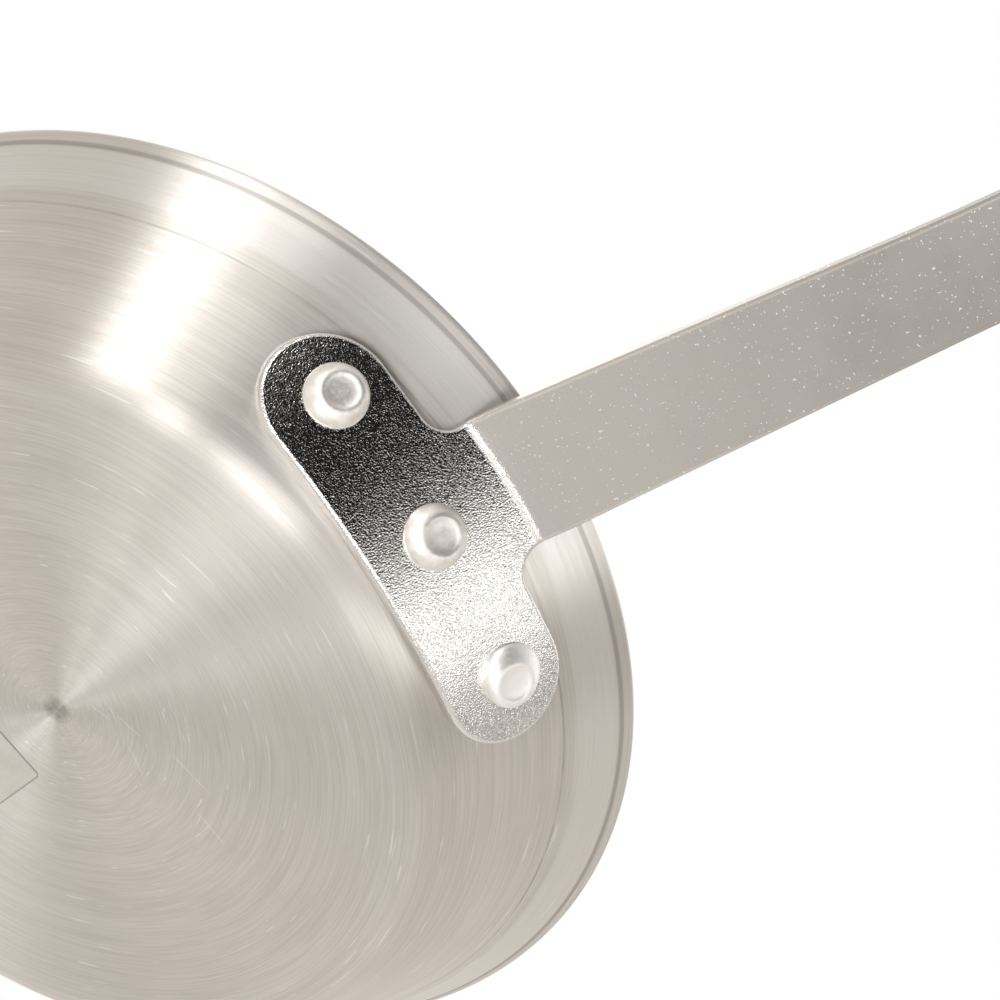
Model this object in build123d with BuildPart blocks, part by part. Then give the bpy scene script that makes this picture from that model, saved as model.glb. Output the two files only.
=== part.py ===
"""Shallow aluminium fry pan with a riveted strap handle.

Millimetres. The origin is the middle of the face that the pan rests on, +Z points up
out of the bowl, and +X runs out along the handle.
"""

import os
from math import atan2, cos, hypot, radians, sin, tan

from build123d import *

os.makedirs("parts", exist_ok=True)

# ---------------------------------------------------------------- driving dimensions
# Bowl: one sheet of aluminium, spun over a former.
rim_radius = 102.0  # before its edge is rounded: 8 inches across when finished
rim_height = 40.8  # of the rim's outside edge
base_radius = 74.9  # where the line of the wall meets the resting face
wall_thickness = 3.0
wall_angle = 57.5  # between the straight wall and the base
heel_radius = 9.0  # outside of the bend from base to wall
flare_start_height = 31.5  # above this the wall turns outwards to the rim
rim_edge_radius = 1.1
dish_inset = 8.9  # from the foot of the wall in to the hollow of the base
dish_depth = 0.6
centre_mark_radius = 3.4  # the dimple that the lathe's centre leaves
centre_mark_depth = 0.35

# Handle: one blank of plated steel, a tee-shaped plate curved to the wall and a strap.
handle_thickness = 3.0
handle_gap = 0.03  # between the plate and the wall, as pressed together
lobe_radius = 12.2  # round ends of the tee
lobe_inset = 0.7  # the round ends' middles lie this far inside the end rivets
lobe_drop = 1.5  # the lobes' centre line lies this far below the row of rivets
neck_fillet = 5.5
strap_width = 26.0  # at the bend
bend_straight = 6.0  # the strap keeps its width this far past the bend
strap_waist_width = 19.6  # narrowest place, for the fingers
strap_end_width = 25.4
strap_end_flat = 0.5  # left straight between the two end corners, each side
waist_sweep = 500.0  # radius of the strap's edges as they pass the waist
strap_pitch = 7.5  # degrees that the strap rises
bend_rise = 17.3  # from the row of rivets up the wall to the bend
bend_radius = 2.2  # inside of the bend
strap_reach = 180.0  # from the rim to the tip, measured level
waist_distance = 104.6  # from the bend to the waist
handle_edge_radius = 0.9
hang_hole_radius = 5.0
hang_hole_inset = 15.0  # from the tip to the middle of the hole

# Rivets: solid aluminium, closed on the outside of the pan.
rivet_pitch = 30.5  # between rivets, along the flat blank
rivet_rise = 19.3  # from the foot of the wall up to the row of rivets
shank_radius = 3.2
rivet_clearance = 0.03
head_radius = 6.0
head_skirt = 0.7
head_height = 2.8
head_flat_radius = 3.3
head_softening = 0.5
inner_head_radius = 6.5
inner_head_height = 1.6
inner_head_crown = 1.1  # how far the low inside head domes
rivets = {  # name: (place in the row, sideways and upward slip of the closing tool)
    "rivet_left": (-1, (0.3, 0.5)),
    "rivet_middle": (0, (0.2, 0.4)),
    "rivet_right": (1, (0.8, -0.9)),
}

# Paper label, stuck on the hollow of the base.
label_length = 38.0
label_width = 25.0
label_corner_radius = 1.2
label_thickness = 0.1
label_glue = 0.01
label_centre = (-34.7, 2.4)
label_turn = -11.0

# How the pieces are cut and joined.
head_bed = 1.0  # heads start this far under the face that they seat on
broad_facing = 0.85  # how squarely a face of the handle looks out of the sheet
same_place = 0.01  # points closer than this are one

# ---------------------------------------------------------------- worked-out geometry
slope = radians(wall_angle)
dish_radius = base_radius - dish_inset  # the pan rests on the ring outside this
lobe_pitch = rivet_pitch - lobe_inset  # middle of the tee to the middle of each end
cutter = rim_radius + rim_height  # longer than anything that it cuts


def wall_radius(height, offset=0.0):
    """Radius of the straight wall's outside at a height, moved outwards by offset."""
    return base_radius + height / tan(slope) + offset / sin(slope)


def wall_plane(up_wall, azimuth, offset=0.0):
    """Plane on the wall, up_wall from its foot: x around the pan, z straight out."""
    outward = (sin(slope) * cos(azimuth), sin(slope) * sin(azimuth), -cos(slope))
    radius = base_radius + up_wall * cos(slope) + offset * sin(slope)
    height = up_wall * sin(slope) - offset * cos(slope)
    origin = (radius * cos(azimuth), radius * sin(azimuth), height)
    return Plane(origin, x_dir=(-sin(azimuth), cos(azimuth), 0), z_dir=outward)


def section_through(plane):
    """Plane that holds a wall plane's normal as its y direction, for turned profiles."""
    return Plane(plane.origin, x_dir=plane.x_dir, z_dir=-plane.y_dir)


def cone_inside(offset):
    """Everything inside the straight wall's cone, moved outwards by offset."""
    low, high = -rim_height, rim_radius
    with BuildPart() as cone:
        with BuildSketch(Plane.XZ):
            with BuildLine():
                Polyline(
                    (0, low),
                    (wall_radius(low, offset), low),
                    (wall_radius(high, offset), high),
                    (0, high),
                    close=True,
                )
            make_face()
        revolve(axis=Axis.Z)
    return cone.part


# The flat blank is wrapped round the wall's cone. A straight row of holes on the blank
# climbs the cone a little on each side, because it is farther from the cone's point.
plate_face = handle_gap + handle_thickness
drill = wall_thickness + plate_face  # deep enough for every hole
to_cone_point = base_radius / cos(slope) + rivet_rise + plate_face * tan(slope)


def rivet_plane(place, offset=0.0):
    """Wall plane of the rivet at a place in the row: -1, 0 or 1."""
    along_blank = place * rivet_pitch
    azimuth = atan2(along_blank, to_cone_point) / cos(slope)
    climb = hypot(along_blank, to_cone_point) - to_cone_point
    return wall_plane(rivet_rise + climb, azimuth, offset)


row_plane = rivet_plane(0, plate_face)
bend = wall_plane(rivet_rise + bend_rise, 0, plate_face).origin
pitch = radians(strap_pitch)
strap_up = (-sin(pitch), 0, cos(pitch))
strap_face = Plane(bend, x_dir=(cos(pitch), 0, sin(pitch)), z_dir=strap_up)
strap_back = strap_face.offset(handle_thickness)
strap_length = (rim_radius + strap_reach - bend.X) / cos(pitch)

# ---------------------------------------------------------------- bowl
with BuildPart() as pan_body:
    with BuildSketch(Plane.XZ) as bowl_section:
        with BuildLine() as skin:
            dish = TangentArc((0, dish_depth), (dish_radius, 0), tangent=(1, 0))
            ring = Line(dish @ 1, (base_radius, 0))
            flare_start = (wall_radius(flare_start_height), flare_start_height)
            wall = Line(ring @ 1, flare_start)
            TangentArc(wall @ 1, (rim_radius, rim_height), tangent=wall % 1)
            heel = skin.vertices().sort_by_distance((base_radius, 0))[0]
            fillet(heel, radius=heel_radius)
            offset(amount=wall_thickness, side=Side.LEFT)
        make_face()
        fillet(bowl_section.vertices().sort_by(Axis.Y)[-2:], radius=rim_edge_radius)
    revolve(axis=Axis.Z)
    with BuildSketch(Plane.XZ):
        with BuildLine():
            Polyline(
                (0, 0),
                (centre_mark_radius, 0),
                (centre_mark_radius, dish_depth),
                (0, dish_depth + centre_mark_depth),
                close=True,
            )
        make_face()
    revolve(axis=Axis.Z, mode=Mode.SUBTRACT)
    for place, _ in rivets.values():
        with BuildSketch(rivet_plane(place)):
            Circle(shank_radius + rivet_clearance)
        extrude(amount=drill, both=True, mode=Mode.SUBTRACT)

# ---------------------------------------------------------------- handle
under_plate = cone_inside(handle_gap)
plate_envelope = cone_inside(plate_face)
wall_out = row_plane.z_dir
strap_back_dir = strap_face.z_dir
to_back = strap_back_dir - wall_out
bend_back = bend + to_back * (handle_thickness / to_back.dot(strap_back_dir))


def is_broad(face):
    """A face of the sheet, not of its edge."""
    normal = face.normal_at()
    return max(abs(normal.dot(wall_out)), abs(normal.dot(strap_back_dir))) > broad_facing


with BuildPart() as handle:
    with BuildSketch(row_plane) as tee:
        with Locations((0, -lobe_drop)):
            SlotCenterToCenter(2 * lobe_pitch, 2 * lobe_radius)
        with Locations((0, bend_rise / 2)):
            Rectangle(strap_width, bend_rise + 2 * handle_thickness)
        inner_corners = tee.vertices().filter_by(
            lambda v: abs(abs(v.X) - strap_width / 2) < same_place and 0 < v.Y < bend_rise
        )
        fillet(inner_corners, radius=neck_fillet)
    extrude(amount=cutter, both=True)
    add(plate_envelope, mode=Mode.INTERSECT)
    split(bisect_by=strap_back, keep=Keep.BOTTOM)
    with BuildSketch(strap_face) as strap:
        near_half, waist_half, end_half = (
            width / 2 for width in (strap_width, strap_waist_width, strap_end_width)
        )
        with BuildLine():
            Polyline(
                (-strap_width, near_half),
                (bend_straight, near_half),
                (waist_distance, waist_half),
                (strap_length, end_half),
                (strap_length, -end_half),
                (waist_distance, -waist_half),
                (bend_straight, -near_half),
                (-strap_width, -near_half),
                close=True,
            )
        make_face()
        ends = strap.vertices().sort_by(Axis.X)[-2:]
        fillet(ends, radius=end_half - strap_end_flat)
        waist_corners = strap.vertices().filter_by(
            lambda v: abs(v.X - waist_distance) < same_place
        )
        fillet(waist_corners, radius=waist_sweep)
    extrude(amount=handle_thickness)
    add(under_plate, mode=Mode.SUBTRACT)
    inside_bend = handle.edges().sort_by_distance(bend)[0]
    fillet(inside_bend, radius=bend_radius)
    outside_bend = handle.edges().sort_by_distance(bend_back)[0]
    fillet(outside_bend, radius=bend_radius + handle_thickness)
    broad = handle.faces().filter_by(is_broad)
    narrow = handle.faces() - broad
    outline = broad.edges() & narrow.edges()
    fillet(outline, radius=handle_edge_radius)
    for place, _ in rivets.values():
        with BuildSketch(rivet_plane(place)):
            Circle(shank_radius + rivet_clearance)
        extrude(amount=drill, both=True, mode=Mode.SUBTRACT)
    with BuildSketch(strap_face):
        with Locations((strap_length - hang_hole_inset, 0)):
            Circle(hang_hole_radius)
    extrude(amount=drill, both=True, mode=Mode.SUBTRACT)

# ---------------------------------------------------------------- rivets
inside_wall = cone_inside(-wall_thickness)


def make_rivet(place, slip):
    """One rivet: a low head inside the bowl, a shank, and a head closed on the plate."""
    plate_side = rivet_plane(place, plate_face)
    bowl_side = rivet_plane(place, -wall_thickness)

    with BuildPart() as closed_head:
        with BuildSketch(plate_side.offset(-head_bed)):
            Circle(head_radius)
        extrude(amount=head_bed + head_skirt)
        with BuildSketch(plate_side.offset(head_skirt)):
            Circle(head_radius)
        with BuildSketch(plate_side.offset(head_height)):
            with Locations(slip):
                Circle(head_flat_radius)
        loft()
        top = closed_head.faces().sort_by_distance(plate_side.offset(head_height).origin)[0]
        fillet(top.edges(), radius=head_softening)
        add(plate_envelope, mode=Mode.SUBTRACT)

    with BuildPart() as rivet:
        with BuildSketch(section_through(bowl_side)):
            with BuildLine():
                edge_height = inner_head_height - inner_head_crown
                crown = TangentArc(
                    (0, -inner_head_height), (inner_head_radius, -edge_height), tangent=(1, 0)
                )
                Polyline(
                    crown @ 1, (inner_head_radius, head_bed), (0, head_bed), crown @ 0
                )
            make_face()
        revolve(axis=Axis(bowl_side.origin, bowl_side.z_dir))
        add(inside_wall, mode=Mode.INTERSECT)
        with BuildSketch(bowl_side.offset(-edge_height)):
            Circle(shank_radius)
        extrude(amount=edge_height + wall_thickness + plate_face + head_skirt)
        add(closed_head.part)
    return rivet.part


rivet_parts = {name: make_rivet(place, slip) for name, (place, slip) in rivets.items()}

# ---------------------------------------------------------------- label
with BuildPart() as label:
    with BuildSketch(Plane.XZ):
        with BuildLine():
            above, below = -label_glue, -label_glue - label_thickness
            upper = TangentArc((0, dish_depth + above), (dish_radius, above), tangent=(1, 0))
            lower = TangentArc((0, dish_depth + below), (dish_radius, below), tangent=(1, 0))
            Line(upper @ 0, lower @ 0)
            Line(upper @ 1, lower @ 1)
        make_face()
    revolve(axis=Axis.Z)
    turned = (cos(radians(label_turn)), sin(radians(label_turn)), 0)
    with BuildSketch(Plane((*label_centre, 0), x_dir=turned, z_dir=(0, 0, 1))):
        RectangleRounded(label_length, label_width, label_corner_radius)
    extrude(amount=rim_height, both=True, mode=Mode.INTERSECT)

# ---------------------------------------------------------------- files
nodes = {"pan_body": pan_body.part, "handle": handle.part, "label": label.part}
nodes.update(rivet_parts)
for name, part in nodes.items():
    part.label = name
    export_step(part, f"parts/{name}.step")

hang_hole = strap_face * Pos(strap_length - hang_hole_inset, 0, handle_thickness / 2)
print("hanging hole", hang_hole.position, "axis", strap_face.z_dir)
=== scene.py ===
# %% [markdown]
# # A shallow spun aluminium fry pan
#
# The pan is a spun bowl, a riveted handle cut and bent from plated steel, three solid
# rivets and a paper label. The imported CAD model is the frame: it says where each piece
# is, and this lesson only adds the looks. The box is measured before and after, because
# the looks must not make the pan any bigger.

# %% Load the frame
from math import atan2, cos, pi, radians, sin, sqrt, tan

import bpy
from mathutils import Matrix, Vector


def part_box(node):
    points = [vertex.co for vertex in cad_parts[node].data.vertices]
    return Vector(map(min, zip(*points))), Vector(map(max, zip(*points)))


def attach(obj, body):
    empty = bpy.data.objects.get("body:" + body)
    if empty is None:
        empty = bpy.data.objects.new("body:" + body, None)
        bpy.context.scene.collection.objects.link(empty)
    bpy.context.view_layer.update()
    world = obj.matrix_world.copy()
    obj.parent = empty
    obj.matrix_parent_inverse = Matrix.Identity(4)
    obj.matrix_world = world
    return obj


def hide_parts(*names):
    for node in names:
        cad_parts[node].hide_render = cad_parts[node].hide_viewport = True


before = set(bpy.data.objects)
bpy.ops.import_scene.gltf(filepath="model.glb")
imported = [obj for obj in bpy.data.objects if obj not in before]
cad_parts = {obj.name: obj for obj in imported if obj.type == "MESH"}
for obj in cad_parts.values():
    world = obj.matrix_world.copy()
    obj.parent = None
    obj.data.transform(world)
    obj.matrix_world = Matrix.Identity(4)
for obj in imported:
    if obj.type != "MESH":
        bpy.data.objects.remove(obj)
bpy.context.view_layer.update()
MM = 0.001
scene = bpy.context.scene
for name in sorted(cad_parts):
    low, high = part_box(name)
    print(name, [round((b - a) / MM, 1) for a, b in zip(low, high)], "mm")

# %% [markdown]
# ## The view
#
# A pan that hangs or lies bottom up shows its base, its wall and the riveted plate. The
# camera therefore stands below the base and looks up at it. A long lens keeps the bowl
# round. The camera is set from three directions at right angles (right, up and back),
# which is exact and needs no target object.

# %% Camera
camera_data = bpy.data.cameras.new("camera")
camera_data.lens = 108.0
camera_data.sensor_width = 36.0
camera_data.clip_start = 0.01
camera = bpy.data.objects.new("camera", camera_data)
scene.collection.objects.link(camera)
right = Vector((0.76161, 0.50975, 0.40013))
up = Vector((0.30395, -0.82631, 0.47415))
back = Vector((0.57233, -0.2395, -0.78427))
place = Vector((401.55, -126.32, -392.84)) * MM
camera.matrix_world = Matrix.Translation(place) @ Matrix((right, up, back)).transposed().to_4x4()
scene.camera = camera
scene.view_settings.view_transform = "Standard"
print("camera", [round(v, 4) for v in place], "m, lens", camera_data.lens, "mm")

# %% [markdown]
# ## Small helpers for node trees
#
# A material is a chain of small nodes. These helpers add one node, set what is fixed and
# join what is linked, so each finish below reads as a short recipe.


# %% Node helpers
class Recipe:
    """Adds nodes to one tree. A value that is a socket is linked, and any other is set."""

    def __init__(self, tree):
        self.tree = tree

    def add(self, kind, settings=None, **inputs):
        node = self.tree.nodes.new(kind)
        for key, value in (settings or {}).items():
            setattr(node, key, value)
        for key, value in inputs.items():
            self.put(node.inputs[key], value)
        return node

    def put(self, socket, value):
        if isinstance(value, bpy.types.NodeSocket):
            self.tree.links.new(value, socket)
        else:
            socket.default_value = value

    def math(self, operation, a, b=0.0):
        node = self.add("ShaderNodeMath", {"operation": operation})
        self.put(node.inputs[0], a)
        self.put(node.inputs[1], b)
        return node.outputs[0]

    def vector(self, operation, a, b=(0.0, 0.0, 0.0)):
        node = self.add("ShaderNodeVectorMath", {"operation": operation})
        self.put(node.inputs[0], a)
        self.put(node.inputs[1], b)
        return node.outputs["Value" if operation in ("DOT_PRODUCT", "LENGTH") else "Vector"]

    def remap(self, value, low, high, to_low=0.0, to_high=1.0):
        node = self.add("ShaderNodeMapRange", {"interpolation_type": "SMOOTHSTEP"})
        for key, number in zip(("Value", "From Min", "From Max", "To Min", "To Max"),
                               (value, low, high, to_low, to_high)):
            self.put(node.inputs[key], number)
        return node.outputs["Result"]

    def mix(self, factor, a, b):
        node = self.add("ShaderNodeMix", {"data_type": "RGBA"})
        for index, value in ((0, factor), (6, a), (7, b)):
            self.put(node.inputs[index], value)
        return node.outputs[2]

    def noise(self, vector, scale, detail=3.0, rough=0.5):
        node = self.add("ShaderNodeTexNoise", Vector=vector, Scale=scale, Detail=detail,
                        Roughness=rough)
        return node.outputs["Fac"]

    def bump(self, height, distance, strength, normal=None):
        node = self.add("ShaderNodeBump", Strength=strength, Distance=distance, Height=height)
        if normal is not None:
            self.put(node.inputs["Normal"], normal)
        return node.outputs["Normal"]


def new_finish(name):
    """A material with its own Principled shader, and the recipe that adds to its tree."""
    material = bpy.data.materials.new(name)
    material.use_nodes = True
    shader = material.node_tree.nodes["Principled BSDF"]
    return material, shader, Recipe(material.node_tree)


def grey(value, warm=0.0):
    """A nearly grey colour, a little warmer as warm grows."""
    return (value, value * (1 - warm), value * (1 - 2.2 * warm), 1.0)


def facing(azimuth, elevation):
    """The direction at that azimuth and elevation, in degrees, as three numbers."""
    a, e = radians(azimuth), radians(elevation)
    return cos(e) * cos(a), cos(e) * sin(a), sin(e)


print("helpers ready")

# %% [markdown]
# ## The studio
#
# Bright metal shows what is round it, so the studio is the main part of its look. Zones
# of the surroundings are lit or dark: a dark zone gives the plate its black, a bright one
# beside it gives the white flash, and the rest is soft warm grey. The camera itself sees
# plain white. Soft lights add the streaks on the turned base.

# %% Surroundings
world = bpy.data.worlds.new("studio")
scene.world = world
world.use_nodes = True
studio = Recipe(world.node_tree)
direction = studio.add("ShaderNodeTexCoord").outputs["Generated"]
zones = [  # (azimuth, elevation, full inside, gone outside: degrees; brightness, warmth)
    (162, -43, 25, 80, 0.92, 0.06),
    (146, -64, 14, 34, 0.62, 0.02),
    (-9, -12, 31, 41, 0.012, 0.0),
    (16, -38, 8, 20, 1.3, 0.02),
    (-2, -43, 6, 14, 1.5, 0.02),
    (33, -10, 7, 14, 2.9, 0.01),
    (50, -4, 9, 17, 0.36, 0.06),
    (0, 80, 30, 70, 0.62, 0.02),
]
colour = grey(0.72, 0.055)
for azimuth, elevation, full, gone, level, warm in zones:
    near = studio.vector("DOT_PRODUCT", direction, facing(azimuth, elevation))
    inside = studio.remap(near, cos(radians(gone)), cos(radians(full)))
    colour = studio.mix(inside, colour, grey(level, warm))
seen = studio.add("ShaderNodeLightPath").outputs["Is Camera Ray"]
colour = studio.mix(seen, colour, grey(1.0))
studio.put(world.node_tree.nodes["Background"].inputs["Color"], colour)
print(len(zones), "studio zones")


# %% Soft lights
light_distance = 1.1
light_aim = Vector((0.06, 0, 0.02))  # between the bowl and the strap


def soft_light(name, azimuth, elevation, power, size):
    """A square light that faces the pan: degrees, watts and metres."""
    towards = Vector(facing(azimuth, elevation))
    data = bpy.data.lights.new(name, "AREA")
    data.energy = power
    data.size = size
    light = bpy.data.objects.new(name, data)
    light.location = towards * light_distance + light_aim
    light.rotation_euler = towards.to_track_quat("Z", "Y").to_euler()
    scene.collection.objects.link(light)


soft_light("wall_streak", -65, -10, 2.0, 0.30)
soft_light("base_streak", -60, -54, 1.1, 0.12)
soft_light("base_sheen", -24, -68, 2.4, 0.36)
soft_light("faint_streak", 45, -65, 0.5, 0.16)
soft_light("fill_above", 60, 60, 2.2, 0.9)
soft_light("back_above", -130, 45, 2.0, 0.8)

# %% [markdown]
# ## The floor
#
# The pan rests on a plain pale floor. The camera looks up from under it, so the floor's
# underside is clear and it blocks no light. From above it is an ordinary floor.

# %% Floor
floor_size = 4.0
bpy.ops.object.select_all(action="DESELECT")
bpy.ops.mesh.primitive_plane_add(size=floor_size, location=(0, 0, 0))
floor = bpy.context.object
floor.name = "floor"
floor_paint, shader, recipe = new_finish("floor_paint")
shader.inputs["Base Color"].default_value = grey(0.80)
shader.inputs["Roughness"].default_value = 0.7
under = recipe.add("ShaderNodeNewGeometry").outputs["Backfacing"]
clear = recipe.add("ShaderNodeBsdfTransparent").outputs[0]
either = recipe.add("ShaderNodeMixShader")
for index, value in ((0, under), (1, shader.outputs[0]), (2, clear)):
    recipe.put(either.inputs[index], value)
recipe.put(floor_paint.node_tree.nodes["Material Output"].inputs["Surface"], either.outputs[0])
floor.data.materials.append(floor_paint)
for ray in ("shadow", "diffuse", "glossy", "transmission"):
    setattr(floor, "visible_" + ray, False)
print("floor at z =", floor.location.z)

# %% [markdown]
# ## The spun bowl
#
# A spinner presses a turning disc of aluminium over a former, so the bowl is one profile
# turned about its axis. It could be raised from a circle ring by ring, but drawing half
# of the section once and spinning it is the same as the real process. The CAD node is
# replaced because spinning leaves a mark that the solid leaves out: the faint step part
# way up the wall, where the roller lifted.

# %% Bowl sizes, in millimetres
rim_radius, rim_height = 102.0, 40.8
base_radius, wall_thickness = 74.9, 3.0
wall_slope = radians(57.5)
heel_radius, flare_start, edge_round = 9.0, 31.5, 1.1
dish_radius, dish_depth = 66.0, 0.6
mark_radius, mark_depth, mark_shoulder = 3.4, 0.35, 0.06
mark_inner_radius = mark_radius * 0.9
spin_line_height, spin_line_depth, spin_line_half_width = 28.0, 0.06, 0.9
heel_run = heel_radius * tan(wall_slope / 2)
dish_steps, heel_steps, wall_steps, flare_steps, edge_steps = 24, 12, 40, 14, 5
bowl_segments, rivet_segments = 288, 72
weld = 0.002 * MM


def arc_points(centre, radius, start, end, steps):
    """Points and outward normals of an arc, with its angles in radians."""
    for i in range(steps + 1):
        angle = start + (end - start) * i / steps
        normal = Vector((cos(angle), sin(angle)))
        yield centre + normal * radius, normal


# %% Outside of the section
outside = []
dish_round = (dish_radius**2 + dish_depth**2) / (2 * dish_depth)
for i in range(dish_steps + 1):
    r = mark_radius + (dish_radius - mark_radius) * i / dish_steps
    z = dish_depth - (dish_round - sqrt(dish_round**2 - r**2))
    outside.append((Vector((r, z)), Vector((r / dish_round, -1)).normalized()))
heel_centre = Vector((base_radius - heel_run, heel_radius))
outside += arc_points(heel_centre, heel_radius, -pi / 2, -pi / 2 + wall_slope, heel_steps)
wall_normal = Vector((sin(wall_slope), -cos(wall_slope)))
wall_foot = outside[-1][0]
wall_top = Vector((base_radius + flare_start / tan(wall_slope), flare_start))
for i in range(1, wall_steps + 1):
    point = wall_foot.lerp(wall_top, i / wall_steps)
    step = spin_line_depth * max(0.0, 1 - abs(point.y - spin_line_height) / spin_line_half_width)
    outside.append((point - wall_normal * step, wall_normal))
chord = Vector((rim_radius, rim_height)) - wall_top
turn = 2 * (wall_slope - atan2(chord.y, chord.x))
flare_radius = chord.length / (2 * sin(turn / 2))
flare_centre = wall_top + wall_normal * flare_radius
for i in range(1, flare_steps + 1):
    slope_here = wall_slope - turn * i / flare_steps
    normal = Vector((sin(slope_here), -cos(slope_here)))
    outside.append((flare_centre - normal * flare_radius, normal))
print(len(outside), "points outside, rim at", [round(v, 2) for v in outside[-1][0]])

# %% Rim, inside and centre mark of the section
end, end_normal = outside[-1]
along = Vector((-end_normal.y, end_normal.x))
section = [Vector((0, dish_depth + mark_depth)),
           Vector((mark_inner_radius, dish_depth + mark_shoulder))]
section += [p for p, _ in outside if (end - p).length > edge_round]
for corner in (edge_round, wall_thickness - edge_round):
    centre = end - along * edge_round - end_normal * corner
    first = 0 if corner == edge_round else pi / 2
    for i in range(edge_steps + 1):
        angle = first + pi / 2 * i / edge_steps
        section.append(centre + (end_normal * cos(angle) + along * sin(angle)) * edge_round)
inside = [p - n * wall_thickness for p, n in outside if (end - p).length > edge_round]
section += reversed(inside)
section.append(Vector((0, dish_depth + wall_thickness)))
print(len(section), "points in the section")

# %% [markdown]
# The section is drawn as one chain of edges: a plane is merged to a single vertex, which
# is extruded from point to point. Spinning the chain closes the bowl, and merging doubles
# closes the seam and the two poles before the normals are recalculated.

# %% A function that spins a section
def spin_section(name, points, segments):
    """Draws edges through (radius, height) points and spins them. It stays in Edit Mode."""
    bpy.ops.object.select_all(action="DESELECT")
    bpy.ops.mesh.primitive_plane_add(size=0.001, location=(0, 0, 0))
    spun = bpy.context.object
    spun.name = name
    bpy.ops.object.mode_set(mode="EDIT")
    bpy.ops.mesh.merge(type="CENTER")
    bpy.ops.transform.translate(value=(0, 0, points[0][1] * MM))
    for (r0, h0), (r1, h1) in zip(points, points[1:]):
        move = ((r1 - r0) * MM, 0, (h1 - h0) * MM)
        bpy.ops.mesh.extrude_region_move(TRANSFORM_OT_translate={"value": move})
    bpy.ops.mesh.select_all(action="SELECT")
    bpy.ops.mesh.spin(steps=segments, angle=2 * pi, center=(0, 0, 0), axis=(0, 0, 1))
    bpy.ops.mesh.select_all(action="SELECT")
    bpy.ops.mesh.remove_doubles(threshold=weld)
    bpy.ops.mesh.normals_make_consistent(inside=False)
    return spun


# %% Spin the bowl
bowl = spin_section("spun_bowl", section, bowl_segments)
bpy.ops.object.mode_set(mode="OBJECT")
bpy.ops.object.shade_smooth()
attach(bowl, "root")
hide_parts("pan_body")
bowl_top = max(v.co.z for v in bowl.data.vertices) / MM
print("bowl", len(bowl.data.polygons), "faces, top", round(bowl_top, 2), "mm")

# %% [markdown]
# ## Turned aluminium
#
# The lathe leaves fine rings, so roughness, colour and bump follow the distance from the
# axis. Noise is read on a ring coordinate with the angle given as a cosine and a sine,
# so no seam shows. Light spreads across the rings, not along them: the shader's
# anisotropy is turned to the radial direction, which gives the streaks from the middle.

# %% Aluminium finish
aluminium, shader, recipe = new_finish("turned_aluminium")
position = recipe.add("ShaderNodeTexCoord").outputs["Object"]
parts = recipe.add("ShaderNodeSeparateXYZ", Vector=position)
flat = recipe.add("ShaderNodeCombineXYZ", X=parts.outputs["X"], Y=parts.outputs["Y"]).outputs[0]
radius = recipe.vector("LENGTH", flat)
radial = recipe.vector("NORMALIZE", flat)
around = recipe.add("ShaderNodeSeparateXYZ", Vector=radial)
height_share = 0.65  # so that the rings also follow the wall as it climbs
run = recipe.math("ADD", radius, recipe.math("MULTIPLY", parts.outputs["Z"], height_share))


def rings(per_metre, wander, detail=4.0):
    """Noise on turned rings: fine across them, and slow round them."""
    coordinate = recipe.add(
        "ShaderNodeCombineXYZ",
        X=recipe.math("MULTIPLY", run, per_metre),
        Y=recipe.math("MULTIPLY", around.outputs["X"], wander),
        Z=recipe.math("MULTIPLY", around.outputs["Y"], wander),
    ).outputs[0]
    return recipe.noise(coordinate, 1.0, detail, 0.6)


fine = rings(3000.0, 3.0)
medium = rings(900.0, 1.6)
broad = rings(120.0, 0.5, 2.0)
scratch = recipe.remap(rings(1500.0, 5.0, 1.0), 0.70, 0.76)
mottle = recipe.noise(position, 60.0, 4.0)
tone = recipe.mix(recipe.remap(broad, 0.35, 0.65), grey(0.78, 0.045), grey(0.81, 0.04))
tone = recipe.mix(recipe.remap(fine, 0.35, 0.65, 0.0, 0.38), tone, grey(0.58, 0.045))
tone = recipe.mix(recipe.math("MULTIPLY", scratch, 0.75), tone, grey(0.97, 0.01))
tone = recipe.mix(recipe.remap(mottle, 0.45, 0.75, 0.0, 0.14), tone, grey(0.56, 0.05))


def band(low, high, edge):
    """1 between two distances from the axis, in millimetres, with soft edges."""
    rise = recipe.remap(radius, (low - edge) * MM, low * MM)
    fall = recipe.remap(radius, high * MM, (high + edge) * MM, 1.0, 0.0)
    return recipe.math("MULTIPLY", rise, fall)


crease_shade_band, rim_highlight_band = (92.65, 92.75, 0.14), (95.0, 99.2, 0.8)
rim_shade_band, centre_band = (99.9, 100.2, 0.3), (0.0, 1.2, 2.6)
# Painted shade: a thin dark line painted along the crease where the roller lifted, broken in
# places.
broken = recipe.remap(rings(60.0, 6.0, 2.0), 0.38, 0.62, 0.25, 0.9)
crease_shade = recipe.math("MULTIPLY", band(*crease_shade_band), broken)
tone = recipe.mix(recipe.math("MULTIPLY", crease_shade, 0.55), tone, grey(0.30, 0.04))
# Painted highlight: a lighter band painted just inside the rim.
tone = recipe.mix(recipe.math("MULTIPLY", band(*rim_highlight_band), 0.45), tone, grey(0.90, 0.01))
tone = recipe.mix(recipe.math("MULTIPLY", band(*rim_shade_band), 0.55), tone, grey(0.34, 0.04))
patchy = recipe.remap(medium, 0.2, 0.7, 0.5, 0.95)
swirl = recipe.math("MULTIPLY", band(*centre_band), patchy)
tone = recipe.mix(swirl, tone, grey(0.40, 0.05))


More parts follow.
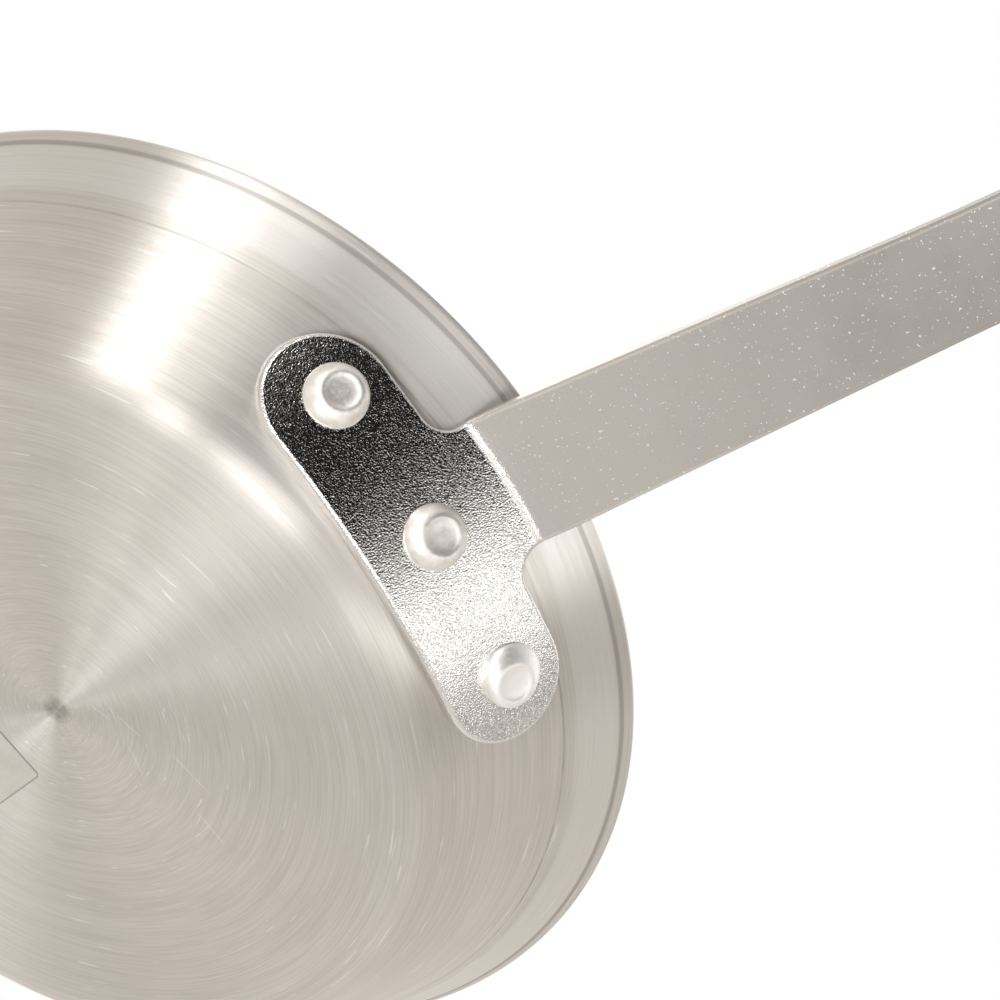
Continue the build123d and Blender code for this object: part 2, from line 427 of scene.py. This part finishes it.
def scored(x, y, heading, length):
    """1 on a hairline scratch: its middle in millimetres, its heading in degrees."""
    ahead = (cos(radians(heading)), sin(radians(heading)), 0)
    aside = (-ahead[1], ahead[0], 0)
    offset = recipe.vector("SUBTRACT", flat, (x * MM, y * MM, 0))
    along = recipe.math("ABSOLUTE", recipe.vector("DOT_PRODUCT", offset, ahead))
    across = recipe.math("ABSOLUTE", recipe.vector("DOT_PRODUCT", offset, aside))
    thin = recipe.remap(across, 0.03 * MM, 0.12 * MM, 1.0, 0.0)
    within = recipe.remap(along, length * 0.3 * MM, length * 0.5 * MM, 1.0, 0.0)
    return recipe.math("MULTIPLY", thin, within)


on_outside = recipe.remap(parts.outputs["Z"], 1.0 * MM, 1.4 * MM, 0.8, 0.0)
hairlines = ((9.4, 3.7, 62, 5), (13.5, 8.0, 70, 7), (10.0, 15.0, 100, 8), (16.7, 32.9, 80, 9),
             (20.0, 21.0, 75, 11), (-30.0, -28.0, 20, 8))  # (x, y, heading, length)
for hairline in hairlines:
    mark = recipe.math("MULTIPLY", scored(*hairline), on_outside)
    tone = recipe.mix(mark, tone, grey(0.99, 0.01))
recipe.put(shader.inputs["Base Color"], tone)
shader.inputs["Metallic"].default_value = 1.0
recipe.put(shader.inputs["Roughness"], recipe.remap(medium, 0.25, 0.75, 0.38, 0.45))
shader.inputs["Anisotropic"].default_value = 0.95
recipe.put(shader.inputs["Tangent"], radial)
relief = recipe.bump(medium, 0.014 * MM, 0.8)
relief = recipe.bump(fine, 0.010 * MM, 1.0, relief)
recipe.put(shader.inputs["Normal"], relief)
bowl.data.materials.append(aluminium)
print("finish", aluminium.name)

# %% [markdown]
# ## The plated handle
#
# The handle is steel with bright plating. On the wide plate the plating is thick and has
# a pebbled skin, like orange peel. Along the strap it was brushed before plating, so it is
# satin. The CAD shape is right, so it stays, and one finish changes over at the bend.

# %% Plated finish
plated, shader, recipe = new_finish("plated_steel")
position = recipe.add("ShaderNodeTexCoord").outputs["Object"]
parts = recipe.add("ShaderNodeSeparateXYZ", Vector=position)
bend_start, bend_end = 95.0 * MM, 101.0 * MM
strap_darkening_start, strap_darkening_end = 100.0 * MM, 200.0 * MM
on_strap = recipe.remap(parts.outputs["X"], bend_start, bend_end)
peel = recipe.noise(position, 3300.0, 1.0, 0.5)
swell = recipe.noise(position, 900.0, 2.0, 0.5)
grains = recipe.noise(position, 4200.0, 1.0, 0.6)
smudge = recipe.noise(position, 70.0, 3.0)
# The strap's colour grows darker from the bend out towards its far end.
strap_darkening = recipe.remap(parts.outputs["X"], strap_darkening_start, strap_darkening_end)
satin = recipe.mix(strap_darkening, grey(0.72, 0.045), grey(0.47, 0.05))
tone = recipe.mix(on_strap, grey(0.84, 0.015), satin)
tone = recipe.mix(recipe.remap(smudge, 0.4, 0.7, 0.0, 0.2), tone, grey(0.50, 0.02))
# Painted highlights: small bright glints painted into the strap's colour.
painted_glint = recipe.remap(recipe.noise(position, 1700.0, 1.0), 0.69, 0.74)
tone = recipe.mix(recipe.math("MULTIPLY", painted_glint, on_strap), tone, grey(1.0))
recipe.put(shader.inputs["Base Color"], tone)
shader.inputs["Metallic"].default_value = 1.0
rough = recipe.math("ADD", recipe.remap(on_strap, 0.0, 1.0, 0.06, 0.30),
                    recipe.remap(smudge, 0.3, 0.7, 0.0, 0.06))
recipe.put(shader.inputs["Roughness"], rough)
relief = recipe.bump(swell, 0.03 * MM, 0.4)
relief = recipe.bump(peel, 0.085 * MM, recipe.remap(on_strap, 0.0, 1.0, 1.0, 0.10), relief)
grain_strength = recipe.remap(on_strap, 0.0, 1.0, 0.9, 0.25)
relief = recipe.bump(grains, 0.03 * MM, grain_strength, relief)
recipe.put(shader.inputs["Normal"], relief)


def refinish(node, material):
    """Gives a carried-over CAD node a better material in place of its plain one."""
    mesh_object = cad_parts[node]
    for material_slot in mesh_object.material_slots:
        material_slot.material = material
    if not mesh_object.material_slots:
        mesh_object.data.materials.append(material)


refinish("handle", plated)
print("finish", plated.name)

# %% [markdown]
# ## The rivets
#
# A rivet is soft aluminium, struck cold. The closing tool leaves a smooth flat disc, with
# a pale satin skin round it and small dents where it slipped.

# %% Rivet finish
struck, shader, recipe = new_finish("struck_aluminium")
position = recipe.add("ShaderNodeTexCoord").outputs["Object"]
dents = recipe.noise(position, 520.0, 3.0, 0.55)
skin = recipe.noise(position, 2200.0, 3.0, 0.6)
tone = recipe.mix(recipe.remap(dents, 0.35, 0.65), grey(0.86, 0.035), grey(0.98, 0.02))
# Painted light: the right rivet's colour is painted paler, for the light that falls on it.
sideways = recipe.add("ShaderNodeSeparateXYZ", Vector=position).outputs["Y"]
painted_light_from, painted_light_to = 16.0 * MM, 22.0 * MM  # only the right rivet lies past these
right_rivet_lit = recipe.remap(sideways, painted_light_from, painted_light_to)
tone = recipe.mix(right_rivet_lit, tone, grey(1.0, 0.01))
recipe.put(shader.inputs["Base Color"], tone)
shader.inputs["Metallic"].default_value = 1.0
recipe.put(shader.inputs["Roughness"], recipe.remap(skin, 0.3, 0.7, 0.46, 0.56))
relief = recipe.bump(dents, 0.12 * MM, 0.7)
relief = recipe.bump(skin, 0.01 * MM, 0.6, relief)
recipe.put(shader.inputs["Normal"], relief)
print("finish", struck.name)

# %% [markdown]
# Each rivet is turned like the bowl: half of its section is drawn and spun. The closing
# tool pressed a shallow disc into the head and threw up a lip round it. It never sat quite
# square, so the top of each head is moved a little, in steps that grow with the height.

# %% Where the rivets sit
handle_gap, handle_thickness = 0.03, 3.0
rivet_pitch, rivet_rise = 30.5, 19.3
plate_face = handle_gap + handle_thickness
to_cone_point = base_radius / cos(wall_slope) + rivet_rise + plate_face * tan(wall_slope)


def rivet_place(place):
    """Matrix that stands a rivet on the plate: x round the pan, z straight out of the wall."""
    azimuth = atan2(place * rivet_pitch, to_cone_point) / cos(wall_slope)
    climb = sqrt((place * rivet_pitch) ** 2 + to_cone_point**2) - to_cone_point
    up_wall = rivet_rise + climb
    radius_here = base_radius + up_wall * cos(wall_slope) + plate_face * sin(wall_slope)
    height_here = up_wall * sin(wall_slope) - plate_face * cos(wall_slope)
    way = Vector((cos(azimuth), sin(azimuth), 0))
    out = Vector((way.x * sin(wall_slope), way.y * sin(wall_slope), -cos(wall_slope)))
    level = Vector((-way.y, way.x, 0))
    turned = Matrix((level, out.cross(level), out)).transposed().to_4x4()
    spot = Vector((way.x * radius_here, way.y * radius_here, height_here)) * MM
    return Matrix.Translation(spot) @ turned


# %% Rivet section, in millimetres: (radius, height above the plate)
bowl_side = -(plate_face + wall_thickness)
head_radius, head_sunk, shank_radius, collar_sunk = 6.0, 0.60, 3.2, 0.4
slip_levels = (0.9, 1.5, 2.1, 2.3)  # what is above each of these moves one step further
crease = radians(50)
rivet_section = [(0, 2.42), (1.4, 2.40), (2.5, 2.44), (2.95, 2.60), (3.3, 2.76), (3.7, 2.78),
                 (4.2, 2.60), (4.8, 2.18), (5.35, 1.60), (5.72, 1.05), (5.92, 0.60),
                 (head_radius, 0.20), (head_radius, -head_sunk), (shank_radius, -head_sunk),
                 (shank_radius, bowl_side + collar_sunk), (6.4, bowl_side + collar_sunk),
                 (6.5, bowl_side), (6.45, bowl_side - 0.40), (6.2, bowl_side - 0.62),
                 (5.0, bowl_side - 0.95), (3.4, bowl_side - 1.30), (1.7, bowl_side - 1.52),
                 (0, bowl_side - 1.60)]


def spin_rivet(name, node, place, slip):
    """Draws, spins and places one rivet, which stands for a CAD node."""
    rivet = spin_section(name, rivet_section, rivet_segments)
    for level in slip_levels:
        bpy.ops.mesh.select_all(action="DESELECT")
        bpy.ops.object.mode_set(mode="OBJECT")
        for vertex in rivet.data.vertices:
            vertex.select = vertex.co.z > level * MM
        bpy.ops.object.mode_set(mode="EDIT")
        share = MM / len(slip_levels)
        bpy.ops.transform.translate(value=(slip[0] * share, slip[1] * share, 0))
    bpy.ops.object.mode_set(mode="OBJECT")
    rivet.matrix_world = rivet_place(place)
    bpy.ops.object.transform_apply(location=True, rotation=True, scale=True)
    bpy.ops.object.shade_smooth_by_angle(angle=crease)
    rivet.data.materials.append(struck)
    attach(rivet, "root")
    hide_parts(node)
    return rivet


# %% Spin the three rivets
for name, node, place, slip in (("left_rivet", "rivet_left", -1, (0.3, 0.5)),
                                ("middle_rivet", "rivet_middle", 0, (0.2, 0.4)),
                                ("right_rivet", "rivet_right", 1, (0.8, -0.9))):
    made = spin_rivet(name, node, place, slip)
    low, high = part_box(node)
    corners = [[pick(v.co[i] for v in made.data.vertices) for i in range(3)] for pick in (min, max)]
    off = max((Vector(a) - Vector(b)).length for a, b in zip(corners, (low, high))) / MM
    print(name, len(made.data.polygons), "faces, box corners within", round(off, 2), "mm of CAD")

# %% [markdown]
# ## The label
#
# The label is a small sheet of coated paper, stuck in the hollow of the base. It starts as
# a plane with bevelled corners. Bisecting it into strips lets it follow the shallow dish,
# and Shrinkwrap lays it on the bowl before Solidify gives it the paper's thickness.

# %% Label sheet
label_length, label_width, label_corner = 38.0, 25.0, 1.2
label_centre, label_turn = (-34.7, 2.4), radians(-11.0)
label_start, paper_gap, paper_thickness = -2.0, 0.02, 0.09
label_strips = ((0, label_length / 2, 12), (1, label_width / 2, 8))  # (axis, half size, strips)
bpy.ops.object.select_all(action="DESELECT")
bpy.ops.mesh.primitive_plane_add(size=1.0, location=(0, 0, 0))
label = bpy.context.object
label.name = "paper_label"
bpy.ops.object.mode_set(mode="EDIT")
bpy.ops.mesh.select_all(action="SELECT")
bpy.ops.transform.resize(value=(label_length * MM, label_width * MM, 1))
bpy.ops.mesh.bevel(offset=label_corner * MM, segments=6, affect="VERTICES")
for axis, half, count in label_strips:
    for i in range(1, count):
        cut = [0.0, 0.0, 0.0]
        cut[axis] = (-half + 2 * half * i / count) * MM
        normal = [0.0, 0.0, 0.0]
        normal[axis] = 1.0
        bpy.ops.mesh.select_all(action="SELECT")
        bpy.ops.mesh.bisect(plane_co=cut, plane_no=normal)
bpy.ops.mesh.select_all(action="SELECT")
bpy.ops.mesh.normals_make_consistent(inside=False)
bpy.ops.mesh.flip_normals()
bpy.ops.object.mode_set(mode="OBJECT")
label.rotation_euler = (0, 0, label_turn)
label.location = (label_centre[0] * MM, label_centre[1] * MM, label_start * MM)
bpy.ops.object.transform_apply(location=True, rotation=True, scale=True)
lay = label.modifiers.new("lay", "SHRINKWRAP")
lay.target = bowl
lay.wrap_method = "PROJECT"
lay.use_project_z = True
lay.use_positive_direction = True
bpy.ops.object.modifier_apply(modifier="lay")
bpy.ops.object.mode_set(mode="EDIT")
bpy.ops.mesh.select_all(action="SELECT")
bpy.ops.transform.translate(value=(0, 0, -paper_gap * MM))
bpy.ops.object.mode_set(mode="OBJECT")
paper = label.modifiers.new("paper", "SOLIDIFY")
paper.thickness = paper_thickness * MM
paper.offset = 1.0
bpy.ops.object.modifier_apply(modifier="paper")
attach(label, "root")
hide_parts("label")
heights = [v.co.z / MM for v in label.data.vertices]
print("label z", round(min(heights), 3), "to", round(max(heights), 3), "mm")

# %% Paper finish
coated, shader, recipe = new_finish("coated_paper")
position = recipe.add("ShaderNodeTexCoord").outputs["Object"]
fibre = recipe.noise(position, 1400.0, 5.0, 0.65)
handled = recipe.noise(position, 90.0, 3.0)
tone = recipe.mix(recipe.remap(handled, 0.4, 0.7), grey(0.56, 0.05), grey(0.51, 0.06))
tone = recipe.mix(recipe.remap(fibre, 0.4, 0.6, 0.0, 0.25), tone, grey(0.62, 0.045))
spread = (-cos(label_turn), -sin(label_turn), 0), (-sin(label_turn), cos(label_turn), 0)
offset = recipe.vector("SUBTRACT", position, (label_centre[0] * MM, label_centre[1] * MM, 0))
# Painted shadow: a thin dark line painted along the label's edges, where it meets the bowl.
edge_shadow = 0.0
for way, size in zip(spread, (label_length, label_width)):
    reach = recipe.math("ABSOLUTE", recipe.vector("DOT_PRODUCT", offset, way))
    edge_shadow_part = recipe.remap(reach, (size / 2 - 0.40) * MM, (size / 2 - 0.15) * MM)
    edge_shadow = recipe.math("MAXIMUM", edge_shadow, edge_shadow_part)
tone = recipe.mix(recipe.math("MULTIPLY", edge_shadow, 0.7), tone, grey(0.20, 0.05))
recipe.put(shader.inputs["Base Color"], tone)
recipe.put(shader.inputs["Roughness"], recipe.remap(fibre, 0.3, 0.7, 0.42, 0.55))
recipe.put(shader.inputs["Normal"], recipe.bump(fibre, 0.01 * MM, 0.5))
label.data.materials.append(coated)
print("finish", coated.name)
